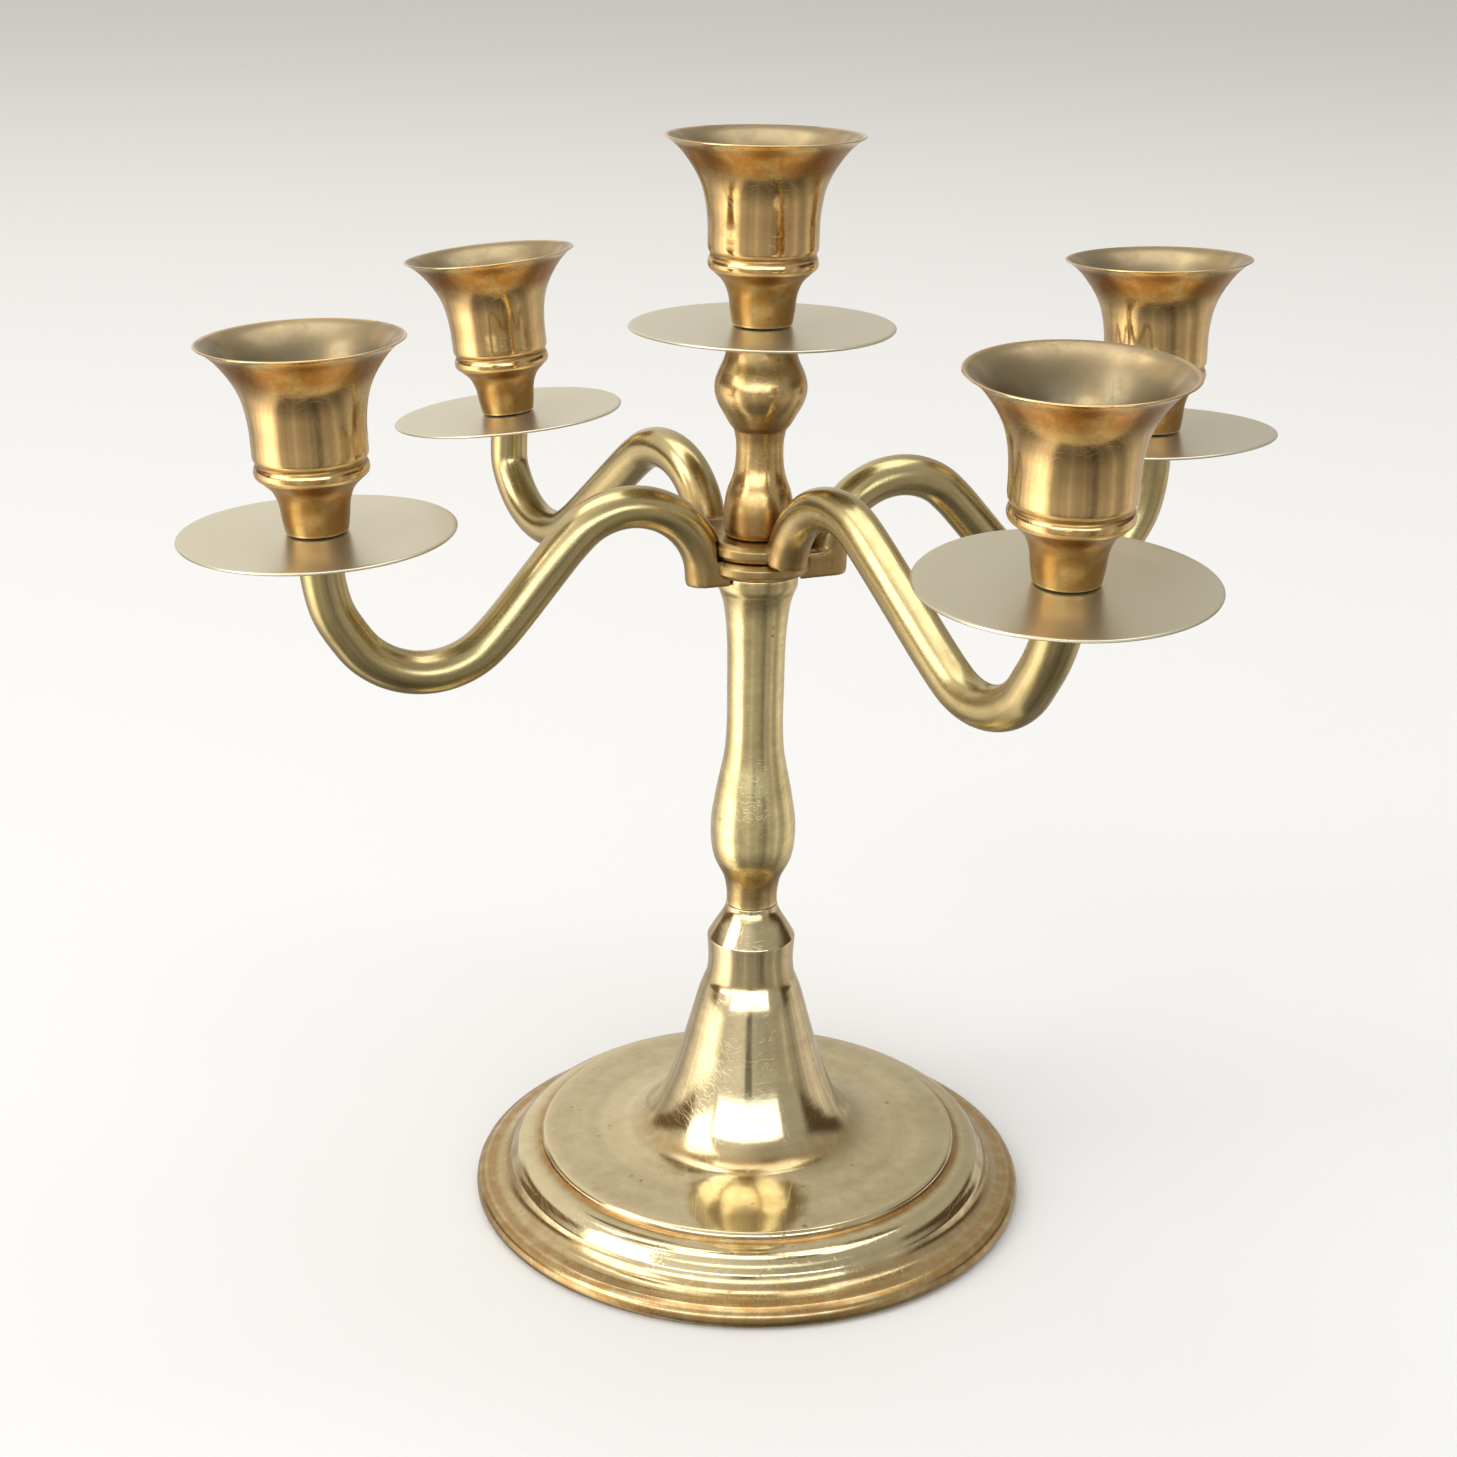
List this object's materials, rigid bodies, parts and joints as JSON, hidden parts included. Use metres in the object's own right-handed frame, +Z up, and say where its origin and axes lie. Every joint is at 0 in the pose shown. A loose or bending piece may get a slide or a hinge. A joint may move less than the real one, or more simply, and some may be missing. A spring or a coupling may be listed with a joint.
{
  "type": "candelabra",
  "caption": "Free-standing brass candelabra: domed foot, turned stem, two crossed S-arm castings, and a drip pan with a bell-shaped candle cup at each place.",
  "frame": {"origin": "centre of the base on the surface it stands on", "axes": "+Z up along the stem; +X to the right and +Y to the back as seen from the front, where the lower pair of arms runs from front left to back right"},
  "size_m": [0.2449, 0.2337, 0.2537],
  "materials": {
    "cast_brass": "polished and lacquered cast brass, worn and lightly tarnished",
    "turned_brass": "lathe-turned brass, bright polish with amber tarnish in the hollows",
    "sheet_brass": "spun sheet brass, dull satin with scratches and wax marks",
    "steel": "zinc-plated threaded steel"
  },
  "bodies": {
    "stand": {"base": "cast_brass", "stem": "turned_brass", "column": "turned_brass", "tie_rod": "steel", "base_washer": "steel", "base_nut": "steel", "stud_centre": "steel"},
    "lower_arms": {"lower_arms": "cast_brass", "stud_front_left": "steel", "stud_back_right": "steel"},
    "upper_arms": {"upper_arms": "cast_brass", "stud_front_right": "steel", "stud_back_left": "steel"},
    "pan_centre": {"drip_pan_centre": "sheet_brass"},
    "cup_centre": {"candle_cup_centre": "turned_brass"},
    "pan_front_left": {"drip_pan_front_left": "sheet_brass"},
    "cup_front_left": {"candle_cup_front_left": "turned_brass"},
    "pan_back_right": {"drip_pan_back_right": "sheet_brass"},
    "cup_back_right": {"candle_cup_back_right": "turned_brass"},
    "pan_front_right": {"drip_pan_front_right": "sheet_brass"},
    "cup_front_right": {"candle_cup_front_right": "turned_brass"},
    "pan_back_left": {"drip_pan_back_left": "sheet_brass"},
    "cup_back_left": {"candle_cup_back_left": "turned_brass"}
  },
  "joints": [
    {"name": "spider_swivel", "type": "hinge", "parent": "stand", "child": "lower_arms", "pos_m": [0, 0, 0.1593], "axis": [0, 0, 1], "continuous": true},
    {"name": "upper_arms_swing", "type": "hinge", "parent": "lower_arms", "child": "upper_arms", "pos_m": [0, 0, 0.1636], "axis": [0, 0, 1], "range_deg": [-54, 30]},
    {"name": "cup_rise_centre", "type": "slide", "parent": "stand", "child": "pan_centre", "axis": [0, 0, 1], "range_m": [0, 0.008]},
    {"name": "cup_unscrew_centre", "type": "hinge", "parent": "pan_centre", "child": "cup_centre", "pos_m": [0, 0, 0.21315], "axis": [0, 0, 1], "range_deg": [0, 3600]},
    {"name": "cup_rise_front_left", "type": "slide", "parent": "lower_arms", "child": "pan_front_left", "axis": [-0.0365, -0.0206, 0.9991], "range_m": [0, 0.008]},
    {"name": "cup_unscrew_front_left", "type": "hinge", "parent": "pan_front_left", "child": "cup_front_left", "pos_m": [-0.09252, -0.03795, 0.1752], "axis": [-0.0365, -0.0206, 0.9991], "range_deg": [0, 3600]},
    {"name": "cup_rise_back_right", "type": "slide", "parent": "lower_arms", "child": "pan_back_right", "axis": [-0.03, 0.018, 0.9994], "range_m": [0, 0.008]},
    {"name": "cup_unscrew_back_right", "type": "hinge", "parent": "pan_back_right", "child": "cup_back_right", "pos_m": [0.09357, 0.03933, 0.1822], "axis": [-0.03, 0.018, 0.9994], "range_deg": [0, 3600]},
    {"name": "cup_rise_front_right", "type": "slide", "parent": "upper_arms", "child": "pan_front_right", "axis": [-0.0045, -0.0785, 0.9969], "range_m": [0, 0.008]},
    {"name": "cup_unscrew_front_right", "type": "hinge", "parent": "pan_front_right", "child": "cup_front_right", "pos_m": [0.05805, -0.08905, 0.1821], "axis": [-0.0045, -0.0785, 0.9969], "range_deg": [0, 3600]},
    {"name": "cup_rise_back_left", "type": "slide", "parent": "upper_arms", "child": "pan_back_left", "axis": [-0.1044, 0.0139, 0.9944], "range_m": [0, 0.008]},
    {"name": "cup_unscrew_back_left", "type": "hinge", "parent": "pan_back_left", "child": "cup_back_left", "pos_m": [-0.06551, 0.08599, 0.1739], "axis": [-0.1044, 0.0139, 0.9944], "range_deg": [0, 3600]}
  ],
  "couplings": [
    {"joint": "cup_unscrew_centre", "follows": "cup_rise_centre", "rad_per_m": 7854},
    {"joint": "cup_unscrew_front_left", "follows": "cup_rise_front_left", "rad_per_m": 7854},
    {"joint": "cup_unscrew_back_right", "follows": "cup_rise_back_right", "rad_per_m": 7854},
    {"joint": "cup_unscrew_front_right", "follows": "cup_rise_front_right", "rad_per_m": 7854},
    {"joint": "cup_unscrew_back_left", "follows": "cup_rise_back_left", "rad_per_m": 7854}
  ]
}
